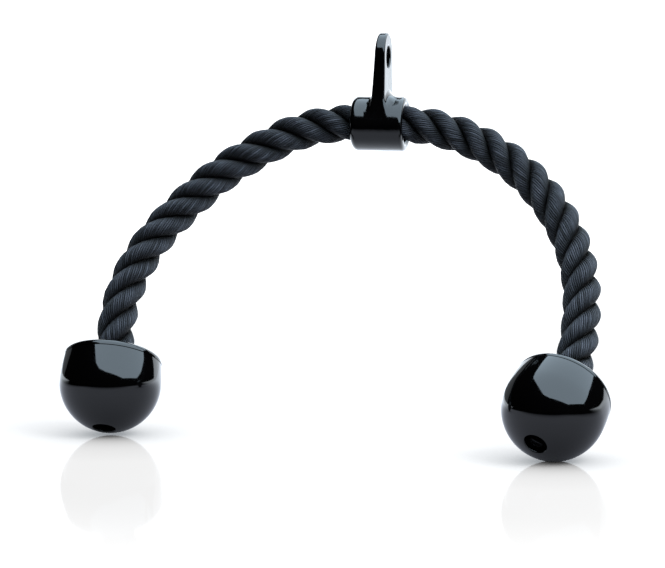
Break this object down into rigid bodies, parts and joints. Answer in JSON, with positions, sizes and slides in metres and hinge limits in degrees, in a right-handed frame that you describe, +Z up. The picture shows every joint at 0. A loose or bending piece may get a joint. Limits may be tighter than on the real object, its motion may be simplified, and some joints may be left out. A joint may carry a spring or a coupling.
{
  "type": "triceps rope attachment",
  "caption": "Cable machine attachment: a thick three-strand rope held at its middle by a cast sleeve with a lug and eye, with a round-ended hand knob on each end.",
  "frame": {"origin": "On the axis of the eye in the bracket's lug, in the middle plane of the sleeve.", "axes": "+X along the sleeve and along the eye's axis, towards the arm that is on the right in the picture. -Y is the side that both arms lean to, towards the camera. +Z up, from the sleeve to the eye."},
  "size_m": [0.4037, 0.2065, 0.2835],
  "materials": {
    "coated_casting": "smooth gloss black coating on a casting",
    "moulded_knob": "high gloss black moulding",
    "twisted_rope": "charcoal three-strand twisted synthetic yarn",
    "plated_steel": "zinc plated steel"
  },
  "bodies": {
    "sleeve": {"bracket_casting": "coated_casting", "set_screw_left": "plated_steel", "set_screw_right": "plated_steel", "rope_centre": "twisted_rope"},
    "left_arm_upper": {"rope_left_upper": "twisted_rope"},
    "left_arm_lower": {"rope_left_lower": "twisted_rope", "knob_body_left": "moulded_knob", "knob_cap_left": "moulded_knob", "rope_ferrule_left": "plated_steel", "end_washer_left": "plated_steel", "end_screw_left": "plated_steel"},
    "right_arm_upper": {"rope_right_upper": "twisted_rope"},
    "right_arm_lower": {"rope_right_lower": "twisted_rope", "knob_body_right": "moulded_knob", "knob_cap_right": "moulded_knob", "rope_ferrule_right": "plated_steel", "end_washer_right": "plated_steel", "end_screw_right": "plated_steel"}
  },
  "joints": [
    {"name": "left_upper_bend", "type": "hinge", "parent": "sleeve", "child": "left_arm_upper", "pos_m": [-0.08052, -0.00356, -0.06468], "axis": [0, -0.8758, 0.4826], "range_deg": [-35, 28], "stiffness_Nm_per_rad": 2, "springref_deg": -5.84, "deforming": ["rope_left_upper"]},
    {"name": "left_lower_bend", "type": "hinge", "parent": "left_arm_upper", "child": "left_arm_lower", "pos_m": [-0.16512, -0.04671, -0.14206], "axis": [0, -0.8758, 0.4826], "range_deg": [-30, 12], "stiffness_Nm_per_rad": 1.5, "springref_deg": -0.88, "deforming": ["rope_left_upper"]},
    {"name": "right_upper_bend", "type": "hinge", "parent": "sleeve", "child": "right_arm_upper", "pos_m": [0.08054, -0.00742, -0.06395], "axis": [0, 0.7831, -0.6219], "range_deg": [-35, 28], "stiffness_Nm_per_rad": 2, "springref_deg": -4, "deforming": ["rope_right_upper"]},
    {"name": "right_lower_bend", "type": "hinge", "parent": "right_arm_upper", "child": "right_arm_lower", "pos_m": [0.15532, -0.06258, -0.1425], "axis": [0, 0.7831, -0.6219], "range_deg": [-30, 12], "stiffness_Nm_per_rad": 1.5, "springref_deg": 0.22, "deforming": ["rope_right_upper"]}
  ]
}
